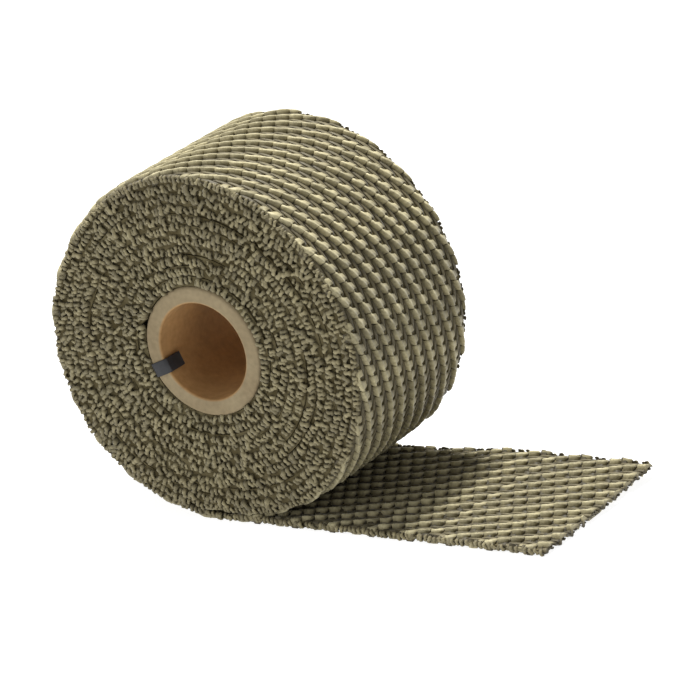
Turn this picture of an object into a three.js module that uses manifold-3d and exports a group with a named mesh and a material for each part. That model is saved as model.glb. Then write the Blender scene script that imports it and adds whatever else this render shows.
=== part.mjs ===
// Exhaust heat wrap: a roll of thick woven heat-resistant tape on a cardboard core.
// The free end leaves the roll at its foot and lies along the ground.
// Millimetres, +Z up. The roll's axis lies along Y and the free end runs towards +X.
// The origin is on the ground, under the middle of the whole piece.

import * as THREE from 'three';
import { mergeVertices } from 'three/addons/utils/BufferGeometryUtils.js';
import Module from 'manifold-3d';

// Wound tape
const wrapWidth = 50;
const rollRadius = 44.5;
const turnPitch = 2.45;
const turnGrooveDepth = 0.9;
const turnGrooveWidth = 1.3;

// Free end of the tape
const tailLength = 89.7;
const tailThickness = 2.0;
const tailCutSkew = 2.2;
const tailEdgeLift = 1.9;
const tailLiftStart = 24;
const tailLiftFull = 58;
const footWidth = 6;

// Cardboard core
const coreRadius = 16.75;
const coreWall = 4.05;
const coreProud = 1.0;
const coreOuterRound = 1.3;
const coreInnerRound = 0.6;
const coreClearance = 0.3;

// Tape tab folded over the core's rim into its bore
const tabWidth = 3.6;
const tabThickness = 0.5;
const tabDepth = 5.4;
const tabAngleDegrees = 205.6;
const tabClearance = 0.3;

// Facets
const roundSegments = 48;
const filletSegments = 3;
const tailStepsAlong = 14;
const tailStepsAcross = 6;

const boreRadius = coreRadius + coreClearance;
const halfWidth = wrapWidth / 2;
const coreHalfLength = halfWidth + coreProud;
const tabReach = coreHalfLength + tabClearance + tabThickness;
const tailReach = tailLength + tailCutSkew / 2;

const wasm = await Module();
wasm.setup();

const material = {
  heatWrap: new THREE.MeshStandardMaterial({ color: 0x8b8668, roughness: 0.85, metalness: 0 }),
  cardboard: new THREE.MeshStandardMaterial({ color: 0x9a855f, roughness: 0.9, metalness: 0 }),
  blackTape: new THREE.MeshStandardMaterial({ color: 0x202226, roughness: 0.55, metalness: 0 }),
};

// A closed three.js geometry with its shared corners merged, as a solid for joining.
function solidFrom(geometry) {
  geometry.deleteAttribute('normal');
  geometry.deleteAttribute('uv');
  const merged = mergeVertices(geometry);
  return new wasm.Manifold(new wasm.Mesh({
    numProp: 3,
    vertProperties: new Float32Array(merged.attributes.position.array),
    triVerts: new Uint32Array(merged.index.array),
  }));
}

function geometryFrom(solid) {
  const mesh = solid.getMesh();
  const geometry = new THREE.BufferGeometry();
  geometry.setAttribute('position', new THREE.BufferAttribute(mesh.vertProperties, 3));
  geometry.setIndex(new THREE.BufferAttribute(mesh.triVerts, 1));
  geometry.computeVertexNormals();
  return geometry;
}

// A profile point: distance from the roll's axis, and place along it.
function profilePoint(radius, along) {
  return new THREE.Vector2(radius, along);
}

// A quarter-round corner of a turned profile, from one angle to another.
function cornerArc(centreRadius, centreAlong, arcRadius, fromAngle, toAngle) {
  const points = [];
  for (let step = 0; step <= filletSegments; step += 1) {
    const angle = THREE.MathUtils.lerp(fromAngle, toAngle, step / filletSegments);
    const radius = centreRadius + arcRadius * Math.cos(angle);
    points.push(profilePoint(radius, centreAlong + arcRadius * Math.sin(angle)));
  }
  return points;
}

// Turn a closed profile round the roll's axis. It runs outwards along the near end.
function turned(profile) {
  return new THREE.LatheGeometry([...profile, profile[0].clone()], roundSegments);
}

// The wound tape with its bore. Each turn stands as a low ridge on both ends,
// with a groove on either side of it.
function woundTape() {
  const turnCount = Math.max(1, Math.round((rollRadius - boreRadius) / turnPitch));
  const pitch = (rollRadius - boreRadius) / turnCount;
  const ridgeSide = turnGrooveWidth / 2;
  const grooveFloor = halfWidth - turnGrooveDepth;
  const nearEnd = [];
  for (let turn = 0; turn < turnCount; turn += 1) {
    const groove = boreRadius + turn * pitch;
    nearEnd.push(profilePoint(groove, -grooveFloor));
    nearEnd.push(profilePoint(groove + ridgeSide, -halfWidth));
    nearEnd.push(profilePoint(groove + pitch - ridgeSide, -halfWidth));
  }
  nearEnd.push(profilePoint(rollRadius, -grooveFloor));
  const farEnd = nearEnd.map((point) => profilePoint(point.x, -point.y)).reverse();
  return turned([...nearEnd, ...farEnd]);
}

// How far the free end's underside stands off the ground. Its far edge curls up.
function tailLift(along, across) {
  const rise = THREE.MathUtils.smoothstep(along, tailLiftStart, tailLiftFull);
  const share = across / wrapWidth + 0.5;
  return tailEdgeLift * rise * share * share;
}

// The free end, from under the roll's foot to its cut. It is laid out with the
// roll's axis at x = 0 and the ground at z = 0.
function tailStrip() {
  const start = -footWidth / 2;
  const length = tailLength - start;
  const strip = new THREE.BoxGeometry(
    length, wrapWidth, tailThickness, tailStepsAlong, tailStepsAcross, 1,
  );
  strip.translate(start + length / 2, 0, tailThickness / 2);
  const place = strip.attributes.position;
  for (let index = 0; index < place.count; index += 1) {
    const along = place.getX(index);
    const across = place.getY(index);
    const skew = (tailCutSkew * (across / wrapWidth) * Math.max(along, 0)) / tailLength;
    place.setX(index, along + skew);
    place.setZ(index, place.getZ(index) + tailLift(along, across));
  }
  return strip;
}

function heatWrap() {
  const roll = solidFrom(woundTape().translate(0, 0, rollRadius));
  return geometryFrom(roll.add(solidFrom(tailStrip())));
}

// The core, a plain tube with a rounded outer rim and a softened inner one.
function cardboardCore() {
  const innerRadius = coreRadius - coreWall;
  const outerCentre = coreRadius - coreOuterRound;
  const innerCentre = innerRadius + coreInnerRound;
  const nearEnd = [
    ...cornerArc(innerCentre, coreInnerRound - coreHalfLength, coreInnerRound, -Math.PI, -Math.PI / 2),
    ...cornerArc(outerCentre, coreOuterRound - coreHalfLength, coreOuterRound, -Math.PI / 2, 0),
  ];
  const farEnd = nearEnd.map((point) => profilePoint(point.x, -point.y)).reverse();
  return turned([...nearEnd, ...farEnd]);
}

// The tab: one leg lies on the core's near rim and the other goes into the bore.
// Its section is drawn as distance from the axis against depth into the bore.
function coreTapeTab() {
  const boreSide = Math.sqrt((coreRadius - coreWall - tabClearance) ** 2 - (tabWidth / 2) ** 2);
  const section = new THREE.Shape();
  section.moveTo(coreRadius, -tabClearance - tabThickness);
  section.lineTo(boreSide, -tabClearance - tabThickness);
  section.lineTo(boreSide - tabThickness, -tabClearance);
  section.lineTo(boreSide - tabThickness, tabDepth);
  section.lineTo(boreSide, tabDepth);
  section.lineTo(boreSide, -tabClearance);
  section.lineTo(coreRadius, -tabClearance);
  section.closePath();
  const tab = new THREE.ExtrudeGeometry(section, { depth: tabWidth, bevelEnabled: false });
  tab.translate(0, -coreHalfLength, -tabWidth / 2);
  tab.rotateY(-THREE.MathUtils.degToRad(tabAngleDegrees));
  return tab;
}

// One named piece of the object.
function piece(name, geometry, finish) {
  const mesh = new THREE.Mesh(geometry, finish);
  mesh.name = name;
  return mesh;
}

// The core and its tab are laid out round the roll's axis, so this group lifts them to it.
const coreGroup = new THREE.Group();
coreGroup.position.z = rollRadius;
coreGroup.add(piece('cardboard_core', cardboardCore(), material.cardboard));
coreGroup.add(piece('core_tape_tab', coreTapeTab(), material.blackTape));

// The whole piece, moved so that the origin is under the middle of its box.
const heatWrapRoll = new THREE.Group();
heatWrapRoll.position.x = (rollRadius - tailReach) / 2;
heatWrapRoll.position.y = (tabReach - coreHalfLength) / 2;
heatWrapRoll.add(piece('heat_wrap', heatWrap(), material.heatWrap));
heatWrapRoll.add(coreGroup);

export default heatWrapRoll;
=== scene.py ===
"""Dresses the exhaust heat wrap roll: its woven tape, its selvedges, its cardboard core and the
black tab on the core's rim, with the floor, the lights and the photograph's camera."""

import logging
import math
from dataclasses import dataclass, field, replace
from enum import Enum

import bpy
import numpy as np
from mathutils import Matrix, Vector


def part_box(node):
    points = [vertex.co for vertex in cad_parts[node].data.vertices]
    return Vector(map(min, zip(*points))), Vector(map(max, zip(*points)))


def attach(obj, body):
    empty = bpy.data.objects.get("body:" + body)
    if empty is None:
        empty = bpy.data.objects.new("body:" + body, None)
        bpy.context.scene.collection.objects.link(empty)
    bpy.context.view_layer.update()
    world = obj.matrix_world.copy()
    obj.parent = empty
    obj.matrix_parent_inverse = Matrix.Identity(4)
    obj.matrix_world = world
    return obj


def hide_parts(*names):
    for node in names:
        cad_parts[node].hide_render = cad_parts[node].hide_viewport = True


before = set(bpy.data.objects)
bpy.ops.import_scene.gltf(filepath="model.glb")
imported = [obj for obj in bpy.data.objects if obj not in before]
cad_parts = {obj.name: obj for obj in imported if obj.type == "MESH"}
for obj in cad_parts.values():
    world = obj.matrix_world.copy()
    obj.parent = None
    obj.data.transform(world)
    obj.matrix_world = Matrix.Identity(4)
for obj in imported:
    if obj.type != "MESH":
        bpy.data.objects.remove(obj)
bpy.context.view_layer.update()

MM = 0.001
BODY = "root"
MERGE_REACH = 0.01 * MM
YARN_SHARP_DEGREES = 75.0
log = logging.getLogger("heat_wrap")

Piece = bpy.types.Object
Socket = bpy.types.NodeSocket
Colour = tuple[float, float, float]
Stops = tuple[tuple[float, Colour], ...]
Rows = tuple[tuple[float, ...], ...]


class Slot(Enum):
    """The material slots."""

    WRAP = "heat_wrap"
    CARDBOARD = "cardboard"
    TAPE = "black_tape"


class Side(Enum):
    """An end of the roll, by the way it faces along Y."""

    NEAR = -1
    FAR = 1


@dataclass(frozen=True)
class RollPlace:
    """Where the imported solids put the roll, its core and its free end, in metres."""

    axis_x: float
    axis_z: float
    middle_y: float
    width: float
    radius: float
    free_length: float
    core_radius: float
    core_low_y: float
    core_high_y: float

    @classmethod
    def from_solids(cls) -> "RollPlace":
        """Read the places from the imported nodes.

        Returns:
            The roll's place.
        """
        wrap_low, wrap_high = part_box("heat_wrap")
        core_low, core_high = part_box("cardboard_core")
        axis_x = (core_low.x + core_high.x) / 2
        axis_z = (core_low.z + core_high.z) / 2
        return cls(
            axis_x=axis_x,
            axis_z=axis_z,
            middle_y=(wrap_low.y + wrap_high.y) / 2,
            width=wrap_high.y - wrap_low.y,
            radius=axis_x - wrap_low.x,
            free_length=wrap_high.x - axis_x,
            core_radius=(core_high.z - core_low.z) / 2,
            core_low_y=core_low.y,
            core_high_y=core_high.y,
        )


def smoothstep(low: float, high: float, values: np.ndarray) -> np.ndarray:
    """Rise smoothly from 0 at low to 1 at high.

    Args:
        low: where the rise starts.
        high: where it ends.
        values: the places to work it out at.

    Returns:
        The share at each place.
    """
    share = np.clip((values - low) / (high - low), 0, 1)
    return share * share * (3 - 2 * share)


@dataclass(frozen=True)
class Winding:
    """The route of the tape's middle surface: flat along the ground, then wound round the core.

    A flat point is a distance along the tape from the roll's foot (below 0 on the free end),
    a place across it, and a height off its middle surface towards the roll's outside.

    Each row of the wander waves is a size, a rate for each radian turned and a phase. Each row
    of the sag is an angle from the foot in degrees and an offset in millimetres.
    """

    place: RollPlace
    thickness: float = 2.3 * MM
    turn_pitch: float = 2.312 * MM
    settle_turns: float = 6.5
    settle_run: float = 0.05
    settle_lead: float = 0.03
    swell: float = 0.8 * MM
    core_gap: float = 0.10 * MM
    edge_lift: float = 1.9 * MM
    lift_start: float = 24 * MM
    lift_full: float = 58 * MM
    cut_skew: float = 2.2 * MM
    wander: float = 0.30 * MM
    wander_waves: Rows = ((1.0, 0.83, 0.6), (0.6, 2.31, 0.0))
    sag_spread: float = 16.0
    sag: Rows = (
        (0, 0.1), (25, 1.6), (50, 2.6), (75, 1.5), (95, 0.2), (125, -0.8), (150, -0.4),
        (180, 1.3), (225, 1.6), (270, 2.4), (300, 3.1), (320, 3.0), (340, 1.5),
    )

    def sag_at(self, turned: np.ndarray) -> np.ndarray:
        """Work out how far the roll, sagged under its own weight, stands off a true round.

        Args:
            turned: angles from the foot, in radians.

        Returns:
            The offsets of the outermost turn, in metres.
        """
        total = np.zeros_like(turned)
        weight = np.zeros_like(turned)
        for degrees, offset in self.sag:
            apart = np.cos(turned - math.radians(degrees)) - 1
            share = np.exp(apart / math.radians(self.sag_spread) ** 2)
            total += share * offset * MM
            weight += share
        return total / weight

    @property
    def foot_radius(self) -> float:
        """The middle surface's distance from the axis where the roll stands."""
        return self.place.radius + self.swell - self.thickness / 2

    @property
    def turned_total(self) -> float:
        """The whole angle that the tape turns, in radians."""
        last = self.place.core_radius + self.core_gap + self.thickness / 2
        return (self.foot_radius - last) / self.turn_pitch * 2 * math.pi

    @property
    def per_radian(self) -> float:
        """How far the spiral comes in for each radian that it turns."""
        return self.turn_pitch / (2 * math.pi)

    @property
    def wound_length(self) -> float:
        """How much tape is on the roll."""
        total = self.turned_total
        return self.foot_radius * total - self.per_radian * total * total / 2

    @property
    def first_turn(self) -> float:
        """How much tape the outermost turn takes."""
        return 2 * math.pi * self.foot_radius

    def turned_at(self, along: np.ndarray) -> np.ndarray:
        """Find how far the tape has turned at a distance from the foot.

        Args:
            along: distances from the foot, in metres.

        Returns:
            Angles from the foot, in radians.
        """
        wound = np.clip(along, 0, self.wound_length)
        inside = self.foot_radius**2 - 2 * self.per_radian * wound
        return (self.foot_radius - np.sqrt(inside)) / self.per_radian

    def settled(self, turned: np.ndarray) -> np.ndarray:
        """Work out how far each turn drops on to the core past the tape's inner end.

        Args:
            turned: angles from the foot, in radians.

        Returns:
            The drops, in metres: whole near the core and fading towards the outside.
        """
        left = (self.turned_total - turned) / (2 * math.pi)
        past = np.mod(self.settle_lead - left, 1.0)
        share = smoothstep(0, self.settle_run, past) - past
        share = np.where(left < self.settle_lead, 0, share)
        return self.turn_pitch * share * np.exp(-np.clip(left - 1, 0, None) / self.settle_turns)

    def bend(self, flat: np.ndarray) -> np.ndarray:
        """Take flat points of the tape to their places on the roll and the ground.

        Args:
            flat: rows of along, across and height.

        Returns:
            Rows of x, y and z in the part's frame.
        """
        along, across, height = flat.T
        turned = self.turned_at(along)
        remaining = 1 - turned / self.turned_total
        radius = self.foot_radius - self.turn_pitch * turned / (2 * math.pi) + height
        radius += self.sag_at(turned) * remaining - self.settled(turned)
        lift = self.swell * remaining
        rolled_x = self.place.axis_x - radius * np.sin(turned)
        rolled_z = self.place.axis_z + lift - radius * np.cos(turned)
        share = across / self.place.width + 0.5
        skew = self.cut_skew * (across / self.place.width) * along / self.place.free_length
        curl = self.edge_lift * smoothstep(self.lift_start, self.lift_full, -along) * share * share
        free = along < 0
        x = np.where(free, self.place.axis_x - along - skew, rolled_x)
        z = np.where(free, self.thickness / 2 - height + curl, rolled_z)
        waves = sum(size * np.sin(rate * turned + phase) for size, rate, phase in self.wander_waves)
        y = self.place.middle_y + across + np.where(free, 0, self.wander * waves)
        return np.stack([x, y, z], axis=1)


@dataclass(frozen=True)
class Grain:
    """A noise's sizes, and the strength and depth of the bump that follows it."""

    scale: float
    detail: float = 3.0
    stretch: tuple[float, float, float] = (1.0, 1.0, 1.0)
    strength: float = 0.0
    depth: float = 0.0


class Nodes:
    """A material's node tree, built one linked node at a time.

    Several sockets of the mix node share a name, so its colour sockets go by number.
    """

    MIX_FACTOR = 0
    MIX_FIRST = 6
    MIX_SECOND = 7
    MIX_RESULT = 2

    def __init__(self, name: str) -> None:
        """Start an empty material with a Principled shader.

        Args:
            name: the material's name.
        """
        self.material = bpy.data.materials.new(name)
        self.material.use_nodes = True
        self.tree = self.material.node_tree
        self.shader = self.tree.nodes["Principled BSDF"]

    def add(self, kind: str, inputs: dict | None = None, **settings: object) -> bpy.types.Node:
        """Add a node.

        Args:
            kind: the node's type, without its ShaderNode prefix.
            inputs: socket values, or sockets to link from, by socket name or number.
            settings: the node's own properties.

        Returns:
            The new node.
        """
        node = self.tree.nodes.new("ShaderNode" + kind)
        for key, value in settings.items():
            setattr(node, key, value)
        self.feed(node, inputs or {})
        return node

    def feed(self, node: bpy.types.Node, inputs: dict) -> None:
        """Set or link a node's inputs.

        Args:
            node: the node to feed.
            inputs: socket values, or sockets to link from, by socket name or number.
        """
        for key, value in inputs.items():
            if isinstance(value, Socket):
                self.tree.links.new(value, node.inputs[key])
            else:
                node.inputs[key].default_value = value

    def attribute(self, name: str) -> Socket:
        """Add a number that is stored at the piece's vertices."""
        return self.add("Attribute", attribute_name=name).outputs["Fac"]

    def ramp(self, factor: Socket, stops: Stops) -> Socket:
        """Add a colour ramp.

        Args:
            factor: what the ramp follows.
            stops: pairs of place and linear colour.

        Returns:
            The ramp's colour socket.
        """
        node = self.add("ValToRGB", {"Fac": factor})
        elements = node.color_ramp.elements
        while len(elements) < len(stops):
            elements.new(0.5)
        for element, (place, colour) in zip(elements, stops):
            element.position = place
            element.color = (*colour, 1.0)
        return node.outputs["Color"]

    def noise(self, grain: Grain) -> Socket:
        """Add a noise texture on the piece's own coordinates.

        Args:
            grain: the noise's sizes.

        Returns:
            The noise's factor socket.
        """
        place = self.add("TexCoord").outputs["Object"]
        mapped = self.add("Mapping", {"Vector": place, "Scale": grain.stretch}).outputs[0]
        inputs = {"Vector": mapped, "Scale": grain.scale, "Detail": grain.detail}
        return self.add("TexNoise", inputs).outputs["Fac"]

    def mix(self, kind: str, factor: object, first: object, second: object) -> Socket:
        """Mix two colours.

        Args:
            kind: the blend type.
            factor: the mix's factor.
            first: the first colour or socket.
            second: the second colour or socket.

        Returns:
            The mixed colour socket.
        """
        node = self.add("Mix", data_type="RGBA", blend_type=kind)
        self.feed(node, {self.MIX_FACTOR: factor, self.MIX_FIRST: first, self.MIX_SECOND: second})
        return node.outputs[self.MIX_RESULT]

    def bump(self, height: Socket, grain: Grain) -> Socket:
        """Add the bump of a noise.

        Args:
            height: the noise's factor socket.
            grain: the noise's sizes.

        Returns:
            The bumped normal socket.
        """
        inputs = {"Height": height, "Strength": grain.strength, "Distance": grain.depth}
        return self.add("Bump", inputs).outputs["Normal"]


@dataclass(frozen=True)
class YarnFinish:
    """Olive-brown mineral yarn, dull, with painted shade by height: dark in the dips of the weave,
    pale where it stands high.
    """

    name: str = "mineral_yarn"
    # Painted light and shade by height: dark in the dips of the weave, lightest on the crests.
    height_shades: Stops = (
        (0.00, (0.050, 0.040, 0.016)), (0.35, (0.160, 0.135, 0.070)),
        (0.72, (0.315, 0.280, 0.165)), (1.00, (0.385, 0.348, 0.216)),
    )
    tones: Stops = ((0.0, (0.70, 0.69, 0.66)), (1.0, (1.14, 1.13, 1.10)))
    clouds: Stops = ((0.3, (0.86, 0.85, 0.83)), (0.7, (1.08, 1.08, 1.07)))
    streaks: Stops = ((0.3, (0.74, 0.73, 0.70)), (0.7, (1.12, 1.12, 1.11)))
    roughness: float = 0.62
    specular: float = 0.35
    sheen: float = 0.12
    sheen_roughness: float = 0.5
    fibre: Grain = Grain(1400.0, stretch=(1.0, 0.16, 1.0), strength=0.5, depth=0.12 * MM)
    cloud: Grain = Grain(55.0)

    def build(self) -> bpy.types.Material:
        """Make the material.

        Returns:
            The yarn's material.
        """
        nodes = Nodes(self.name)
        fibre = nodes.noise(self.fibre)
        cloud = nodes.noise(self.cloud)
        tone = nodes.attribute("yarn_tone")
        # The colour starts from the painted shade by height.
        colour = nodes.ramp(nodes.attribute("yarn_height_shade"), self.height_shades)
        for factor, stops in ((tone, self.tones), (cloud, self.clouds), (fibre, self.streaks)):
            colour = nodes.mix("MULTIPLY", 1.0, colour, nodes.ramp(factor, stops))
        nodes.feed(nodes.shader, {
            "Base Color": colour,
            "Roughness": self.roughness,
            "Specular IOR Level": self.specular,
            "Sheen Weight": self.sheen,
            "Sheen Roughness": self.sheen_roughness,
            "Normal": nodes.bump(fibre, self.fibre),
        })
        return nodes.material


@dataclass(frozen=True)
class GrainFinish:
    """A finish whose colours and bump both follow one noise."""

    name: str
    colours: Stops
    grain: Grain
    roughness: float
    specular: float = 0.5

    def build(self) -> bpy.types.Material:
        """Make the material.

        Returns:
            The finish's material.
        """
        nodes = Nodes(self.name)
        noise = nodes.noise(self.grain)
        nodes.feed(nodes.shader, {
            "Base Color": nodes.ramp(noise, self.colours),
            "Roughness": self.roughness,
            "Specular IOR Level": self.specular,
            "Normal": nodes.bump(noise, self.grain),
        })
        return nodes.material


@dataclass(frozen=True)
class GroundFinish(GrainFinish):
    """The tape's inside, painted dark as the shade that shows between its yarns."""

    name: str = "tape_inside_shade"
    # Painted shade: dark colours that stand for the shade between the yarns.
    colours: Stops = ((0.35, (0.066, 0.053, 0.025)), (0.70, (0.140, 0.118, 0.064)))
    grain: Grain = Grain(900.0, stretch=(0.3, 1.0, 0.3), strength=0.6, depth=0.2 * MM)
    roughness: float = 0.85
    specular: float = 0.02


@dataclass(frozen=True)
class TapeFinish(GrainFinish):
    """Black adhesive tape, satin, with faint creases."""

    name: str = "black_tape"
    colours: Stops = ((0.35, (0.010, 0.010, 0.012)), (0.75, (0.020, 0.021, 0.024)))
    grain: Grain = Grain(500.0, strength=0.3, depth=0.1 * MM)
    roughness: float = 0.62


@dataclass(frozen=True)
class CardboardFinish:
    """Tan board: fine paper fibre, darker soft stains, and a warmer inside."""

    name: str = "cardboard"
    board: Stops = ((0.3, (0.225, 0.172, 0.097)), (0.7, (0.285, 0.228, 0.135)))
    inside: Stops = ((0.3, (0.330, 0.190, 0.075)), (0.75, (0.4455, 0.2565, 0.10125)))
    flecks: Stops = ((0.3, (0.86, 0.85, 0.83)), (0.7, (1.07, 1.07, 1.06)))
    roughness: float = 0.8
    specular: float = 0.3
    stain: Grain = Grain(90.0)
    fibre: Grain = Grain(700.0, 4.0, strength=0.35, depth=0.1 * MM)

    def build(self) -> bpy.types.Material:
        """Make the material.

        Returns:
            The board's material.
        """
        nodes = Nodes(self.name)
        fibre = nodes.noise(self.fibre)
        stain = nodes.noise(self.stain)
        board = nodes.ramp(stain, self.board)
        bore = nodes.ramp(stain, self.inside)
        colour = nodes.mix("MIX", nodes.attribute("bore_share"), board, bore)
        nodes.feed(nodes.shader, {
            "Base Color": nodes.mix("MULTIPLY", 1.0, colour, nodes.ramp(fibre, self.flecks)),
            "Roughness": self.roughness,
            "Specular IOR Level": self.specular,
            "Normal": nodes.bump(fibre, self.fibre),
        })
        return nodes.material


@dataclass(frozen=True)
class FloorFinish:
    """A plain white sweep."""

    name: str = "white_floor"
    colour: tuple[float, float, float, float] = (0.30, 0.30, 0.30, 1.0)
    white: tuple[float, float, float, float] = (1.0, 1.0, 1.0, 1.0)
    glow: float = 0.90
    roughness: float = 0.9
    specular: float = 0.1

    def build(self) -> bpy.types.Material:
        """Make the material.

        Returns:
            The floor's material.
        """
        nodes = Nodes(self.name)
        nodes.feed(nodes.shader, {
            "Base Color": self.colour,
            "Roughness": self.roughness,
            "Specular IOR Level": self.specular,
            "Emission Color": self.white,
            "Emission Strength": self.glow,
        })
        return nodes.material


def deselect() -> None:
    """Leave edit mode and deselect everything."""
    if bpy.context.mode != "OBJECT":
        bpy.ops.object.mode_set(mode="OBJECT")
    bpy.ops.object.select_all(action="DESELECT")


def choose(piece: Piece) -> None:
    """Make a piece the only selected and the active one."""
    deselect()
    piece.select_set(True)
    bpy.context.view_layer.objects.active = piece


def edit_all(piece: Piece) -> None:
    """Open a piece in edit mode with all of it selected."""
    choose(piece)
    bpy.ops.object.mode_set(mode="EDIT")
    bpy.ops.mesh.select_all(action="SELECT")


def apply_array(piece: Piece, count: int, step: tuple, merge: bool) -> None:
    """Repeat a piece along a step.

    Args:
        piece: the piece to repeat.
        count: how many there are in all.
        step: the offset from one to the next, in metres.
        merge: whether touching ends become one.
    """
    choose(piece)
    array = piece.modifiers.new("repeat", "ARRAY")
    array.count = count
    array.use_relative_offset = False
    array.use_constant_offset = True
    array.constant_offset_displace = step
    array.use_merge_vertices = merge
    array.merge_threshold = MERGE_REACH
    bpy.ops.object.modifier_apply(modifier=array.name)


def join(pieces: list, name: str) -> Piece:
    """Join pieces into one.

    Args:
        pieces: the pieces to join.
        name: the joined piece's name.

    Returns:
        The joined piece.
    """
    deselect()
    for piece in pieces:
        piece.select_set(True)
    bpy.context.view_layer.objects.active = pieces[0]
    if len(pieces) > 1:
        bpy.ops.object.join()
    joined = bpy.context.view_layer.objects.active
    joined.name = name
    joined.data.name = name
    return joined


def copy_of(piece: Piece, shift: tuple) -> Piece:
    """Copy a piece with a mesh of its own, and apply the copy's shift.

    Args:
        piece: the piece to copy.
        shift: where the copy goes from there, in metres.

    Returns:
        The copy.
    """
    copy = piece.copy()
    copy.data = piece.data.copy()
    bpy.context.scene.collection.objects.link(copy)
    copy.data.transform(Matrix.Translation(shift))
    return copy


def open_ring(sides: int) -> Piece:
    """Model a ring of edges, 1 m across and upright along X.

    Args:
        sides: how many edges it has.

    Returns:
        The ring.
    """
    deselect()
    bpy.ops.mesh.primitive_circle_add(
        vertices=sides, radius=0.5, location=(0, 0, 0), rotation=(math.pi / 2, 0, 0),
    )
    bpy.ops.object.transform_apply(location=True, rotation=True, scale=True)
    return bpy.context.object


def face_outwards(piece: Piece) -> None:
    """Turn a closed piece's faces outwards."""
    edit_all(piece)
    bpy.ops.mesh.normals_make_consistent(inside=False)
    bpy.ops.object.mode_set(mode="OBJECT")


def close_ends(piece: Piece) -> None:
    """Fill a tube's open ends and turn its faces outwards."""
    edit_all(piece)
    bpy.ops.mesh.select_all(action="DESELECT")
    bpy.ops.mesh.select_non_manifold()
    bpy.ops.mesh.fill_holes(sides=0)
    face_outwards(piece)


def trim(piece: Piece, place: tuple, outwards: tuple) -> None:
    """Cut a piece at a plane, drop what lies outside it and close the cut.

    Args:
        piece: the piece to cut.
        place: a point of the plane.
        outwards: the plane's normal, towards what is dropped.
    """
    edit_all(piece)
    bpy.ops.mesh.bisect(plane_co=place, plane_no=outwards, clear_outer=True, use_fill=True)
    bpy.ops.object.mode_set(mode="OBJECT")


def points_of(piece: Piece) -> np.ndarray:
    """Read a piece's vertices.

    Args:
        piece: the piece to read.

    Returns:
        Rows of x, y and z.
    """
    flat = np.empty(len(piece.data.vertices) * 3)
    piece.data.vertices.foreach_get("co", flat)
    return flat.reshape(-1, 3)


def set_points(piece: Piece, points: np.ndarray) -> None:
    """Write a piece's vertices.

    Args:
        piece: the piece to write.
        points: rows of x, y and z.
    """
    piece.data.vertices.foreach_set("co", points.astype(np.float32).ravel())
    piece.data.update()


def drop(piece: Piece, unwanted: np.ndarray) -> None:
    """Delete some of a piece's vertices.

    Args:
        piece: the piece to cut down.
        unwanted: whether each vertex goes.
    """
    edit_all(piece)
    bpy.ops.mesh.select_all(action="DESELECT")
    bpy.ops.object.mode_set(mode="OBJECT")
    piece.data.vertices.foreach_set("select", unwanted)
    bpy.ops.object.mode_set(mode="EDIT")
    bpy.ops.mesh.delete(type="VERT")
    bpy.ops.object.mode_set(mode="OBJECT")


def set_attribute(piece: Piece, name: str, values: np.ndarray) -> None:
    """Store a number at each vertex for the materials.

    Args:
        piece: the piece to mark.
        name: the attribute's name.
        values: one number for each vertex.
    """
    attribute = piece.data.attributes.new(name, "FLOAT", "POINT")
    attribute.data.foreach_set("value", values.astype(np.float32))


def smooth(piece: Piece, degrees: float = 50.0) -> None:
    """Shade a piece smooth, apart from its sharp edges."""
    choose(piece)
    bpy.ops.object.shade_smooth_by_angle(angle=math.radians(degrees))


def dress(piece: Piece, material: bpy.types.Material, slot: Slot, *nodes: str) -> None:
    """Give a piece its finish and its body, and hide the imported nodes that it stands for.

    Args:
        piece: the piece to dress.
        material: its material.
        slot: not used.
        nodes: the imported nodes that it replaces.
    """
    piece.data.materials.clear()
    piece.data.materials.append(material)
    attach(piece, BODY)
    if nodes:
        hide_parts(*nodes)
    triangles = sum(len(face.vertices) - 2 for face in piece.data.polygons)
    log.info("%s: %d triangles", piece.name, triangles)


@dataclass(frozen=True)
class Yarn:
    """A yarn's section, and the wave that it takes over one repeat of the weave.

    Each row of the wave is a share of the repeat, a height in millimetres and a size. The
    section is round at a squareness of 1 and boxier below it.
    """

    width: float
    thickness: float
    sides: int
    squareness: float
    wave: Rows
    shear: float = 0.0

    def model(self, repeat: float) -> Piece:
        """Model one repeat of the yarn along Y.

        Args:
            repeat: its length.

        Returns:
            An open waved tube.
        """
        yarn = open_ring(self.sides)
        round_points = points_of(yarn)
        shares = np.abs(2 * round_points) ** self.squareness
        set_points(yarn, np.sign(round_points) * shares / 2)
        edit_all(yarn)
        steps = [*self.wave, (1.0, *self.wave[0][1:])]
        first_height, first_size = self.wave[0][1:]
        size = (self.width * first_size, 1, self.thickness * first_size)
        bpy.ops.transform.resize(value=size, center_override=(0, 0, 0))
        bpy.ops.transform.translate(value=(0, 0, first_height * MM))
        for (share, height, scale), (next_share, next_height, next_scale) in zip(steps, steps[1:]):
            move = (0, (next_share - share) * repeat, (next_height - height) * MM)
            bpy.ops.mesh.extrude_region_move(TRANSFORM_OT_translate={"value": move})
            centre = (0, next_share * repeat, next_height * MM)
            grow = next_scale / scale
            bpy.ops.transform.resize(value=(grow, 1, grow), center_override=centre)
        bpy.ops.object.mode_set(mode="OBJECT")
        points = points_of(yarn)
        points[:, 1] += self.shear * points[:, 0]
        set_points(yarn, points)
        return yarn


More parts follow.
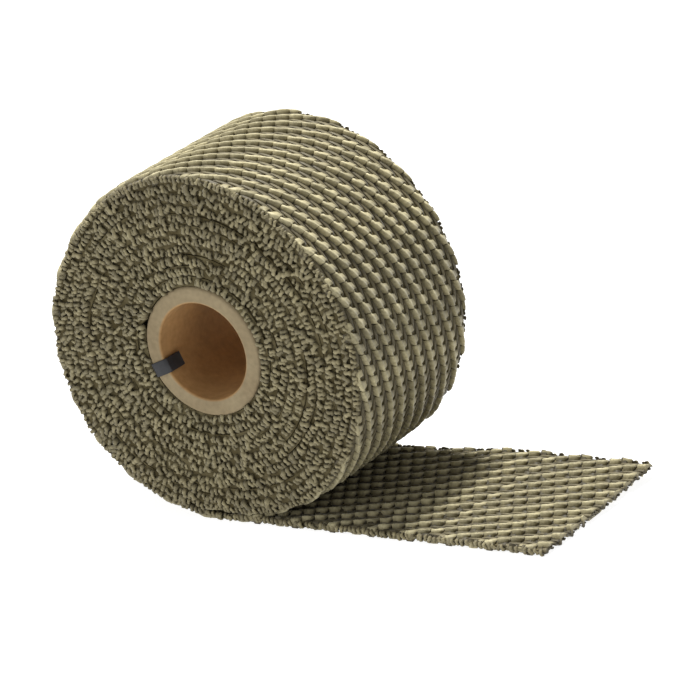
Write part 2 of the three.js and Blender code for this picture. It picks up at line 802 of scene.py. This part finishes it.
@dataclass(frozen=True)
class Twill:
    """The weave's sizes: each cross yarn passes over two long yarns and under the next two.

    The cross yarns are also called picks and the long yarns ends, and both repeat by the count.
    """

    pick_pitch: float = 2.8 * MM
    end_pitch: float = 1.3 * MM
    count: int = 4
    end_lead: float = 1.5
    skew: float = 0.135
    edge_margin: float = 0.7 * MM
    edge_clear: float = 0.4
    layer_height: float = 0.35 * MM
    edge_drop: float = 0.55 * MM
    edge_run: float = 1.4 * MM
    cross_yarn: Yarn = Yarn(2.62 * MM, 1.15 * MM, 8, 0.42, (
        (0.00, -0.80, 0.80), (0.03, -0.50, 1.00), (0.06, 0.50, 1.09), (0.10, 0.64, 1.12),
        (0.20, 0.58, 1.11), (0.26, 0.44, 0.82), (0.44, 0.28, 0.68), (0.62, 0.06, 0.64),
        (0.78, -0.38, 0.60), (0.90, -0.85, 0.64),
    ), shear=0.44)
    long_yarn: Yarn = Yarn(1.10 * MM, 0.60 * MM, 6, 0.80, (
        (0.00, -0.30, 0.95), (0.12, -0.55, 0.90), (0.25, -0.65, 0.90), (0.38, -0.55, 0.90),
        (0.50, -0.22, 0.95), (0.58, -0.02, 1.00), (0.75, 0.06, 1.05), (0.92, -0.02, 1.00),
    ))

    @property
    def across(self) -> float:
        """One repeat across the tape."""
        return self.end_pitch * self.count

    @property
    def along(self) -> float:
        """One repeat along the tape."""
        return self.pick_pitch * self.count


@dataclass
class WovenFace:
    """One face of a stretch of tape: its thick cross yarns and the long yarns between them."""

    winding: Winding
    start: float
    length: float
    outside: bool
    seed: int
    twill: Twill = Twill()
    # Painted shade levels: the long yarns lie lower and are painted darker than the cross yarns.
    cross_level: float = 0.40
    long_level: float = 0.02
    rise_gain: float = 0.60
    rise_height: float = 1.05 * MM
    waver: float = 0.07 * MM
    waver_length: float = 4.1 * MM
    waver_phase: float = 6.3
    stray: float = 0.05 * MM
    height_spread: float = 0.08

    @property
    def half(self) -> float:
        """Half of the woven width."""
        return self.winding.place.width / 2 - self.twill.edge_margin

    @property
    def blocks(self) -> int:
        """How many repeats cover the stretch, with one to spare at each end."""
        return math.ceil(self.length / self.twill.along) + 2

    def cross_yarns(self) -> Piece:
        """Model the cross yarns flat.

        Returns:
            The yarns, from one selvedge to the other.
        """
        twill = self.twill
        yarn = twill.cross_yarn.model(twill.across)
        apply_array(yarn, math.ceil(2 * self.half / twill.across) + 2, (0, twill.across, 0), True)
        picks = []
        for pick in range(twill.count):
            first = -self.half - twill.across * (1 - pick / twill.count)
            picks.append(copy_of(yarn, (pick * twill.pick_pitch - twill.along, first, 0)))
        bpy.data.objects.remove(yarn)
        block = join(picks, "cross_yarns")
        trim(block, (0, self.half, 0), (0, 1, 0))
        trim(block, (0, -self.half, 0), (0, -1, 0))
        apply_array(block, self.blocks, (twill.along, 0, 0), False)
        return block

    def long_yarns(self) -> Piece:
        """Model the long yarns flat.

        Returns:
            The yarns, side by side.
        """
        twill = self.twill
        yarn = twill.long_yarn.model(twill.along)
        yarn.data.transform(Matrix.Rotation(-math.pi / 2, 4, "Z"))
        apply_array(yarn, self.blocks + 2, (twill.along, 0, 0), True)
        ends = []
        for end in range(twill.count):
            first = (end - twill.end_lead) * twill.pick_pitch - 2 * twill.along
            across = (end + 0.5) * twill.end_pitch - self.half
            ends.append(copy_of(yarn, (first, across, 0)))
        bpy.data.objects.remove(yarn)
        block = join(ends, "long_yarns")
        groups = math.ceil(2 * self.half / twill.across)
        apply_array(block, groups, (0, twill.across, 0), False)
        centres = np.floor((points_of(block)[:, 1] + self.half) / twill.end_pitch) + 0.5
        drop(block, centres * twill.end_pitch > 2 * self.half - twill.edge_clear * twill.end_pitch)
        return block

    def vary(self, yarns: Piece, index: np.ndarray, level: float) -> None:
        """Paint shade on flat yarns by their height, make each a little different and lower their
        ends.

        Args:
            yarns: the flat yarns.
            index: which yarn each vertex belongs to.
            level: how light the painted shade leaves a yarn at its middle height, from 0 to 1.
        """
        rng = np.random.default_rng(self.seed)
        count = int(index.max()) + 1
        points = points_of(yarns)
        # Painted shade: the lower a point of a yarn, the darker it is painted.
        rise = np.clip(level + self.rise_gain * points[:, 2] / self.rise_height, 0, 1)
        set_attribute(yarns, "yarn_height_shade", rise)
        set_attribute(yarns, "yarn_tone", rng.random(count)[index])
        phase = rng.random(count)[index] * self.waver_phase
        wave = self.waver * np.sin(points[:, 1] / self.waver_length + phase)
        points[:, 0] += wave + self.stray * rng.standard_normal(count)[index]
        points[:, 2] *= 1 + self.height_spread * rng.standard_normal(count)[index]
        past = np.abs(points[:, 1]) - (self.half - self.twill.edge_run)
        points[:, 2] -= self.twill.edge_drop * np.clip(past / self.twill.edge_run, 0, 1) ** 2
        set_points(yarns, points)

    def wind(self, yarns: Piece) -> None:
        """Trim flat yarns to the stretch and bend them to their place.

        Args:
            yarns: the flat yarns.
        """
        trim(yarns, (self.length, 0, 0), (1, self.twill.skew, 0))
        trim(yarns, (0, 0, 0), (-1, -self.twill.skew, 0))
        points = points_of(yarns)
        side = 1 if self.outside else -1
        distance = points[:, 0] + self.twill.skew * points[:, 1]
        along = self.start + (distance if self.outside else self.length - distance)
        heights = side * (self.twill.layer_height + points[:, 2])
        set_points(yarns, self.winding.bend(np.stack([along, points[:, 1], heights], axis=1)))
        face_outwards(yarns)
        smooth(yarns, YARN_SHARP_DEGREES)

    def lay(self, name: str) -> list:
        """Model both sets of yarns and bend them to their place.

        Args:
            name: what the two pieces' names start with.

        Returns:
            The cross yarns and the long yarns.
        """
        twill = self.twill
        cross = self.cross_yarns()
        picks = np.round(points_of(cross)[:, 0] / twill.pick_pitch).astype(int) + 2 * twill.count
        self.vary(cross, picks, self.cross_level)
        self.wind(cross)
        cross.name = name + "_cross_yarns"
        long = self.long_yarns()
        ends = np.floor((points_of(long)[:, 1] + self.half) / twill.end_pitch).astype(int)
        self.vary(long, np.clip(ends, 0, None), self.long_level)
        self.wind(long)
        long.name = name + "_long_yarns"
        return [cross, long]


@dataclass
class Selvedge:
    """The row of yarn loops along one edge of the whole tape.

    The loops of the inner turns are full and uneven. Those of the outermost turn and the free
    end are smaller and straighter.
    """

    winding: Winding
    side: Side
    seed: int
    loop_pitch: float = 1.28 * MM
    loop_radius: float = 0.80 * MM
    yarn_width: float = 1.20 * MM
    yarn_thickness: float = 0.80 * MM
    sides: int = 6
    steps: int = 7
    bulge: float = 1.18 * MM
    reach: float = 0.20 * MM
    pinch_depth: float = 0.34
    pinch_least: float = 0.7
    pinch_spread: float = 0.6
    pinch_width: float = 0.30 * MM
    pinch_height: float = 0.1 * MM
    waist: float = 0.35
    lean: float = 0.12
    lean_spread: float = 0.50
    lean_limit: float = 1.4
    outer_size: float = 0.86
    outer_spread: float = 0.22
    outer_drop: float = 0.30 * MM
    size_spread: float = 0.13
    depth_spread: float = 0.16 * MM
    shift_spread: float = 0.20 * MM
    height_spread: float = 0.38 * MM
    # Painted shade of the loops: the least lightness, and how it grows as a loop stands out.
    rise_least: float = 0.05
    rise_gain: float = 0.66

    @property
    def start(self) -> float:
        """Where the first loop lies along the tape."""
        return -self.winding.place.free_length + self.loop_pitch

    @property
    def count(self) -> int:
        """How many loops the whole tape takes."""
        return int((self.winding.wound_length - self.start) / self.loop_pitch)

    def model_loop(self) -> Piece:
        """Model one loop, where a yarn turns over the tape's edge.

        Returns:
            A closed half ring that stands out along -Y.
        """
        loop = open_ring(self.sides)
        edit_all(loop)
        size = (self.yarn_width, 1, self.yarn_thickness)
        bpy.ops.transform.resize(value=size, center_override=(0, 0, 0))
        bpy.ops.transform.translate(value=(0, 0, self.loop_radius))
        bpy.ops.mesh.spin(steps=self.steps, angle=math.pi, center=(0, 0, 0), axis=(1, 0, 0))
        close_ends(loop)
        return loop

    def vary(self, loops: Piece, index: np.ndarray) -> np.ndarray:
        """Make each loop a little different, and paint shade on it by how far it stands out.

        Args:
            loops: the flat row of loops.
            index: which loop each vertex belongs to.

        Returns:
            The flat points: rows of along, across and height.
        """
        rng = np.random.default_rng(self.seed)
        count = self.count
        points = points_of(loops)
        centre = index * self.loop_pitch
        out = np.sign(points[:, 1].sum()) * points[:, 1]
        tilt = np.clip(rng.standard_normal(count), -self.lean_limit, self.lean_limit)
        lean = self.lean + self.lean_spread * tilt[index]
        inner = self.start + centre > self.winding.first_turn
        spread = np.where(inner, 1.0, self.outer_spread)
        size = np.where(inner, 1.0, self.outer_size)
        size += self.size_spread * spread * rng.standard_normal(count)[index]
        middle = np.exp(-(((points[:, 2] - self.pinch_height) / self.pinch_width) ** 2))
        share = self.pinch_least + self.pinch_spread * rng.random(count)[index]
        pinch = 1 - self.pinch_depth * share * middle
        x = (points[:, 0] - centre) * size * (1 - self.waist * middle)
        z = points[:, 2] * size
        depth = self.depth_spread * rng.standard_normal(count)[index]
        edge = self.winding.place.width / 2 - self.bulge + self.reach
        across = edge + out * size * pinch - depth
        # Painted shade: darker where a loop stands out less, as at its pinch.
        rise = np.clip(self.rise_least + self.rise_gain * out * pinch / self.bulge, 0, 1)
        set_attribute(loops, "yarn_height_shade", rise)
        set_attribute(loops, "yarn_tone", rng.random(count)[index])
        shift = self.shift_spread * rng.standard_normal(count)[index]
        along = self.start + centre + shift + (x * np.cos(lean) - z * np.sin(lean))
        height = x * np.sin(lean) + z * np.cos(lean)
        height += self.height_spread * spread * rng.standard_normal(count)[index]
        outermost = (self.start + centre > 0) & ~inner
        height -= np.where(outermost, self.outer_drop, 0)
        return np.stack([along, self.side.value * across, height], axis=1)

    def lay(self, name: str) -> Piece:
        """Repeat the loop along the whole tape and wind it up.

        Args:
            name: the piece's name.

        Returns:
            The row of loops.
        """
        loops = self.model_loop()
        corners = len(loops.data.vertices)
        apply_array(loops, self.count, (self.loop_pitch, 0, 0), False)
        loops.name = name
        index = np.arange(len(loops.data.vertices)) // corners
        set_points(loops, self.winding.bend(self.vary(loops, index)))
        face_outwards(loops)
        smooth(loops, YARN_SHARP_DEGREES)
        return loops


@dataclass
class TapeGround:
    """The tape's inside: one long strip that the yarns lie on, from its cut end to the core."""

    winding: Winding
    bare: float = 0.30 * MM
    packed: float = 1.25 * MM
    step: float = 2.8 * MM
    edge_margin: float = 0.90 * MM
    cut_margin: float = 1.4 * MM
    outer_run: float = 20 * MM
    foot_run: float = 15 * MM
    cuts: int = 5

    def model(self, length: float) -> Piece:
        """Model the strip flat and 1 m thick, which laying it puts right.

        Args:
            length: how long it is.

        Returns:
            The strip, closed at its ends.
        """
        width = self.winding.place.width - 2 * self.edge_margin
        deselect()
        bpy.ops.mesh.primitive_plane_add(size=1, location=(0, 0, 0), rotation=(0, math.pi / 2, 0))
        strip = bpy.context.object
        bpy.ops.object.transform_apply(location=True, rotation=True, scale=True)
        edit_all(strip)
        bpy.ops.transform.resize(value=(1, width, 1), center_override=(0, 0, 0))
        bpy.ops.mesh.delete(type="ONLY_FACE")
        bpy.ops.mesh.select_all(action="SELECT")
        bpy.ops.mesh.subdivide(number_cuts=self.cuts)
        bpy.ops.mesh.extrude_region_move(TRANSFORM_OT_translate={"value": (self.step, 0, 0)})
        bpy.ops.object.mode_set(mode="OBJECT")
        apply_array(strip, int(length / self.step), (self.step, 0, 0), True)
        close_ends(strip)
        return strip

    def lay(self, name: str) -> Piece:
        """Model the strip, thin it where it carries yarns and wind it up.

        Args:
            name: the piece's name.

        Returns:
            The wound strip with its free end.
        """
        start = -self.winding.place.free_length + self.cut_margin
        strip = self.model(self.winding.wound_length - start)
        strip.name = name
        points = points_of(strip)
        points[:, 0] += start
        along, level = points[:, 0], 2 * points[:, 2]
        covered = self.winding.first_turn
        spare = self.packed - self.bare
        outer = self.bare + spare * smoothstep(covered, covered + self.outer_run, along)
        inner = self.bare + spare * smoothstep(0, self.foot_run, along)
        points[:, 2] = level * np.where(level > 0, outer, inner)
        set_points(strip, self.winding.bend(points))
        smooth(strip)
        return strip


@dataclass
class Core:
    """The cardboard tube, turned from its section."""

    place: RollPlace
    wall: float = 4.3 * MM
    recess: float = 1.6 * MM
    outer_round: float = 1.0 * MM
    inner_round: float = 0.6 * MM
    arc_steps: int = 5
    turn_steps: int = 128
    sharp_degrees: float = 40.0

    @property
    def bore_radius(self) -> float:
        """The radius of the tube's bore."""
        return self.place.core_radius - self.wall

    @property
    def near_y(self) -> float:
        """Where the tube's near rim is along Y."""
        return self.place.core_low_y + self.recess

    def rim(self, edge: float, way: int) -> list[tuple[float, float]]:
        """Round both corners of one rim, from the bore outwards.

        Args:
            edge: where the rim is along Y.
            way: the direction into the tube along Y, as 1 or -1.

        Returns:
            Distances from the axis and places along Y.
        """
        angles = [math.pi / 2 * step / self.arc_steps for step in range(self.arc_steps + 1)]
        points = []
        for angle in angles:
            radius = self.bore_radius + self.inner_round * (1 - math.cos(angle))
            points.append((radius, edge + way * self.inner_round * (1 - math.sin(angle))))
        for angle in angles:
            radius = self.place.core_radius - self.outer_round * (1 - math.sin(angle))
            points.append((radius, edge + way * self.outer_round * (1 - math.cos(angle))))
        return points

    def section(self) -> list[tuple[float, float]]:
        """Work out the tube's closed section, from the bore's near end out and round."""
        return self.rim(self.near_y, 1) + self.rim(self.place.core_high_y - self.recess, -1)[::-1]

    def model(self, name: str) -> Piece:
        """Spin the section round the roll's axis.

        Args:
            name: the piece's name.

        Returns:
            The tube.
        """
        section = self.section()
        deselect()
        bpy.ops.mesh.primitive_circle_add(vertices=len(section), radius=1, location=(0, 0, 0))
        tube = bpy.context.object
        rows = [(self.place.axis_x + radius, along, self.place.axis_z) for radius, along in section]
        set_points(tube, np.array(rows))
        edit_all(tube)
        centre = (self.place.axis_x, 0, self.place.axis_z)
        bpy.ops.mesh.spin(steps=self.turn_steps, angle=2 * math.pi, center=centre, axis=(0, 1, 0))
        bpy.ops.mesh.select_all(action="SELECT")
        bpy.ops.mesh.remove_doubles(threshold=MERGE_REACH)
        face_outwards(tube)
        tube.name = name
        points = points_of(tube)
        radius = np.hypot(points[:, 0] - self.place.axis_x, points[:, 2] - self.place.axis_z)
        bore = self.bore_radius
        set_attribute(tube, "bore_share", 1 - smoothstep(bore, bore + self.inner_round, radius))
        smooth(tube, self.sharp_degrees)
        return tube


@dataclass
class CoreTab:
    """The black tab, folded over the core's near rim."""

    core: Core
    width: float = 3.6 * MM
    thickness: float = 0.45 * MM
    depth: float = 5.4 * MM
    clearance: float = 0.08 * MM
    fold: float = 0.5 * MM
    edge_round: float = 0.15 * MM
    angle: float = math.radians(201.5)

    def route(self) -> list[tuple[float, float]]:
        """Work out the tab's fold, from under the tape over the rim and into the bore.

        Returns:
            Distances from the axis and places along Y.
        """
        outer = self.core.place.core_radius
        bore = self.core.bore_radius
        rim = self.core.near_y - self.clearance
        inside = math.sqrt(bore**2 - (self.width / 2) ** 2) - self.clearance - self.thickness
        return [
            (outer + 0.2 * MM, rim + 0.5 * MM),
            (outer - 0.7 * MM, rim - 0.1 * MM),
            (bore + self.fold, rim - 0.05 * MM),
            (inside + 0.1 * MM, rim + self.fold),
            (inside, rim + self.depth * 0.5),
            (inside - 0.3 * MM, rim + self.depth),
        ]

    def model_strip(self) -> Piece:
        """Extrude the tab's middle surface along its fold.

        Returns:
            The folded strip, laid out along X and Y with its width along Z.
        """
        route = self.route()
        deselect()
        bpy.ops.mesh.primitive_circle_add(vertices=4, radius=1, location=(0, 0, 0))
        tab = bpy.context.object
        low, high = -self.width / 2, self.width / 2
        first, second = (Vector((*point, 0)) for point in route[:2])
        rows = [(*first.xy, low), (*first.xy, high), (*second.xy, high), (*second.xy, low)]
        set_points(tab, np.array(rows))
        edit_all(tab)
        bpy.ops.mesh.edge_face_add()
        bpy.ops.object.mode_set(mode="OBJECT")
        for vertex in tab.data.vertices:
            vertex.select = vertex.index >= 2
        for edge in tab.data.edges:
            edge.select = min(edge.vertices) >= 2
        for face in tab.data.polygons:
            face.select = False
        choose(tab)
        bpy.ops.object.mode_set(mode="EDIT")
        for here, there in zip(route[1:], route[2:]):
            move = (there[0] - here[0], there[1] - here[1], 0)
            bpy.ops.mesh.extrude_region_move(TRANSFORM_OT_translate={"value": move})
        bpy.ops.object.mode_set(mode="OBJECT")
        return tab

    def model(self, name: str) -> Piece:
        """Turn the folded strip to its place, then thicken and round it.

        Args:
            name: the piece's name.

        Returns:
            The tab.
        """
        place = self.core.place
        tab = self.model_strip()
        tab.data.transform(Matrix.Rotation(-self.angle, 4, "Y"))
        tab.data.transform(Matrix.Translation((place.axis_x, 0, place.axis_z)))
        tab.name = name
        solid = tab.modifiers.new("thickness", "SOLIDIFY")
        solid.thickness = self.thickness
        solid.offset = 0
        bevel = tab.modifiers.new("edges", "BEVEL")
        bevel.width = self.edge_round
        bevel.segments = 2
        choose(tab)
        bpy.ops.object.modifier_apply(modifier=solid.name)
        bpy.ops.object.modifier_apply(modifier=bevel.name)
        face_outwards(tab)
        smooth(tab)
        return tab


@dataclass(frozen=True)
class PhotoCamera:
    """The photograph's viewpoint, worked out from the roll's outline in it.

    The angles are in radians. The distance is in roll radii from the foot of the near end.
    """

    place: RollPlace
    focal_px: float = 4000.0
    image_px: float = 700.0
    sensor_mm: float = 36.0
    azimuth: float = 0.62417
    elevation: float = 0.34597
    tilt: float = -0.15518
    distance: tuple[float, float, float] = (12.5804, -16.0977, 8.2433)
    nearest: float = 0.05
    farthest: float = 20.0

    def set_up(self) -> None:
        """Make the camera and make it the scene's own."""
        data = bpy.data.cameras.new("photo_camera")
        data.sensor_width = self.sensor_mm
        data.lens = self.sensor_mm * self.focal_px / self.image_px
        data.clip_start = self.nearest
        data.clip_end = self.farthest
        camera = bpy.data.objects.new("photo_camera", data)
        bpy.context.scene.collection.objects.link(camera)
        forward = Vector((
            -math.sin(self.azimuth) * math.cos(self.elevation),
            math.cos(self.azimuth) * math.cos(self.elevation),
            -math.sin(self.elevation),
        ))
        level = Vector((math.cos(self.azimuth), math.sin(self.azimuth), 0))
        upright = level.cross(forward)
        right = math.cos(self.tilt) * level + math.sin(self.tilt) * upright
        up = -math.sin(self.tilt) * level + math.cos(self.tilt) * upright
        turn = Matrix((right, up, -forward)).transposed().to_4x4()
        near = Vector((self.place.axis_x, self.place.middle_y - self.place.width / 2, 0))
        spot = near + Vector(self.distance) * self.place.radius
        camera.matrix_world = Matrix.Translation(spot) @ turn
        bpy.context.scene.camera = camera


@dataclass(frozen=True)
class SoftLight:
    """One area light, aimed at the roll."""

    name: str
    spot: tuple[float, float, float]
    size: float
    watts: float
    colour: Colour = (1.0, 1.0, 1.0)

    def set_up(self, target: Vector) -> None:
        """Make the light.

        Args:
            target: the point that it faces.
        """
        data = bpy.data.lights.new(self.name, "AREA")
        data.shape = "DISK"
        data.size = self.size
        data.energy = self.watts
        data.color = self.colour
        light = bpy.data.objects.new(self.name, data)
        bpy.context.scene.collection.objects.link(light)
        light.location = self.spot
        light.rotation_mode = "QUATERNION"
        light.rotation_quaternion = (target - Vector(self.spot)).to_track_quat("-Z", "Y")


@dataclass
class Studio:
    """The floor, the lights and the sky round the roll."""

    place: RollPlace
    floor_size: float = 6.0
    floor_drop: float = 0.05 * MM
    sky: float = 0.40
    lights: list[SoftLight] = field(default_factory=lambda: [
        SoftLight("key", (-0.12, 0.18, 1.00), 0.22, 21.5),
        SoftLight("fill", (-0.45, -0.85, 0.45), 0.60, 2.6),
    ])

    def set_up(self) -> None:
        """Make the floor, the lights and the sky."""
        deselect()
        bpy.ops.mesh.primitive_plane_add(size=self.floor_size, location=(0, 0, -self.floor_drop))
        floor = bpy.context.object
        floor.name = "floor"
        floor.data.materials.append(FloorFinish().build())
        target = Vector((self.place.axis_x, self.place.middle_y, self.place.axis_z))
        for light in self.lights:
            light.set_up(target)
        world = bpy.data.worlds.new("studio")
        world.use_nodes = True
        background = world.node_tree.nodes["Background"]
        background.inputs["Color"].default_value = (1, 1, 1, 1)
        background.inputs["Strength"].default_value = self.sky
        bpy.context.scene.world = world
        bpy.context.scene.view_settings.view_transform = "Standard"


@dataclass
class HeatWrap:
    """The woven tape: its inside, its yarns and the loops along its edges.

    The weave of the free end is looser than that of the outermost turn.
    """

    winding: Winding
    loose_width: float = 2.30 * MM
    loose_shear: float = 0.14
    under_margin: float = 1.2 * MM

    def faces(self) -> dict[str, WovenFace]:
        """Set out the woven faces that can be seen.

        Returns:
            The faces, by what their pieces' names start with.
        """
        free = self.winding.place.free_length
        under = free - self.under_margin
        loose_yarn = replace(Twill().cross_yarn, width=self.loose_width, shear=self.loose_shear)
        loose = Twill(cross_yarn=loose_yarn)
        return {
            "outer_turn": WovenFace(self.winding, 0.0, self.winding.first_turn, True, 3),
            "free_end_top": WovenFace(self.winding, -free, free, False, 5, loose),
            "free_end_under": WovenFace(self.winding, -under, under, True, 7, loose),
        }

    def build(self) -> None:
        """Make the tape's pieces and dress them."""
        yarn = YarnFinish().build()
        ground = TapeGround(self.winding).lay("wound_tape")
        dress(ground, GroundFinish().build(), Slot.WRAP, "heat_wrap")
        woven = []
        for name, face in self.faces().items():
            woven += face.lay(name)
        woven.append(Selvedge(self.winding, Side.NEAR, seed=11).lay("near_selvedge"))
        woven.append(Selvedge(self.winding, Side.FAR, seed=13).lay("far_selvedge"))
        for yarns in woven:
            dress(yarns, yarn, Slot.WRAP, "heat_wrap")


@dataclass
class CoreAssembly:
    """The cardboard core with its tab."""

    place: RollPlace

    def build(self) -> None:
        """Make the core and the tab and dress them."""
        core = Core(self.place)
        tube = core.model("cardboard_tube")
        dress(tube, CardboardFinish().build(), Slot.CARDBOARD, "cardboard_core")
        tab = CoreTab(core).model("black_tab")
        dress(tab, TapeFinish().build(), Slot.TAPE, "core_tape_tab")


def main() -> None:
    """Build the roll and its setting."""
    logging.basicConfig(level=logging.INFO, format="%(name)s: %(message)s")
    place = RollPlace.from_solids()
    winding = Winding(place)
    log.info("wound length %.3f m in %.1f turns", winding.wound_length,
             winding.turned_total / (2 * math.pi))
    PhotoCamera(place).set_up()
    HeatWrap(winding).build()
    CoreAssembly(place).build()
    Studio(place).set_up()


if __name__ == "__main__":
    main()
